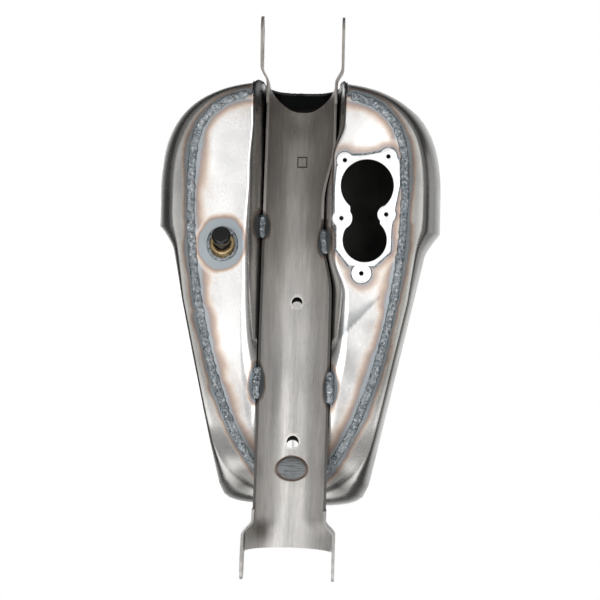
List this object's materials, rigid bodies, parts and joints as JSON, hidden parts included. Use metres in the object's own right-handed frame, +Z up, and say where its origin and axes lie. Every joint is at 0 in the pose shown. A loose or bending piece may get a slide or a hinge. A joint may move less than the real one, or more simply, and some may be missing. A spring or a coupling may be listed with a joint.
{
  "type": "fuel tank",
  "caption": "Bare steel motorcycle fuel tank with knee-stepped shells, tunnelled underside, saddle channel with bolt ears, fuel pump flange, outlet plug and screw cap.",
  "frame": {"origin": "centre of the front mounting bolt, midway between the two front ears", "axes": "+X towards the steering head, +Y to the rider's left, +Z up"},
  "size_m": [0.64, 0.3288, 0.2785],
  "materials": {
    "bare_steel": "bare rolled steel sheet, satin with straw and blue tint beside the welds",
    "underside_steel": "bright bare steel sheet",
    "channel_steel": "bare hot-rolled plate with fine lengthwise streaks",
    "weld_bead": "rippled blue-grey weld bead with spatter",
    "machined_flange": "machined face, pale satin",
    "bung_metal": "turned bung, heat tinted gold",
    "plug_plastic": "glossy black shipping plug",
    "filler_steel": "turned steel, satin",
    "cap_metal": "polished",
    "cap_plastic": "black moulded threaded plug",
    "gasket_rubber": "black fuel-proof rubber",
    "small_hardware": "plain steel"
  },
  "bodies": {
    "tank": {"shell_left": "bare_steel", "shell_right": "bare_steel", "spine_weld": "weld_bead", "bottom_pan": "underside_steel", "seam_weld": "weld_bead", "nose_weld": "weld_bead", "saddle_channel": "channel_steel", "saddle_plug_weld": "weld_bead", "stitch_welds": "weld_bead", "pump_flange": "machined_flange", "pump_flange_weld": "weld_bead", "outlet_bung": "bung_metal", "outlet_bung_weld": "weld_bead", "filler_neck": "filler_steel", "filler_neck_weld": "weld_bead"},
    "cap_lift": {"cap_gasket": "gasket_rubber"},
    "cap": {"cap_cover": "cap_metal", "cap_body": "cap_plastic", "cap_screws": "small_hardware", "cap_vent_retainer": "small_hardware", "cap_vent_spring": "small_hardware"},
    "vent": {"cap_vent_valve": "small_hardware"},
    "plug": {"outlet_plug": "plug_plastic"}
  },
  "joints": [
    {"name": "cap_rise", "type": "slide", "parent": "tank", "child": "cap_lift", "axis": [0, 0, 1], "range_m": [0, 0.0162]},
    {"name": "cap_turn", "type": "hinge", "parent": "cap_lift", "child": "cap", "pos_m": [-0.201, 0, 0.142], "axis": [0, 0, 1], "range_deg": [0, 720]},
    {"name": "vent_open", "type": "slide", "parent": "cap", "child": "vent", "axis": [0, 0, -1], "range_m": [0, 0.0012], "stiffness_N_per_m": 150, "springref_m": -0.002, "deforming": ["cap_vent_spring"]},
    {"name": "plug_pull", "type": "slide", "parent": "tank", "child": "plug", "axis": [0.4226, 0, -0.9063], "range_m": [0, 0.032]}
  ],
  "couplings": [
    {"joint": "cap_rise", "follows": "cap_turn", "m_per_rad": 0.0012732}
  ]
}
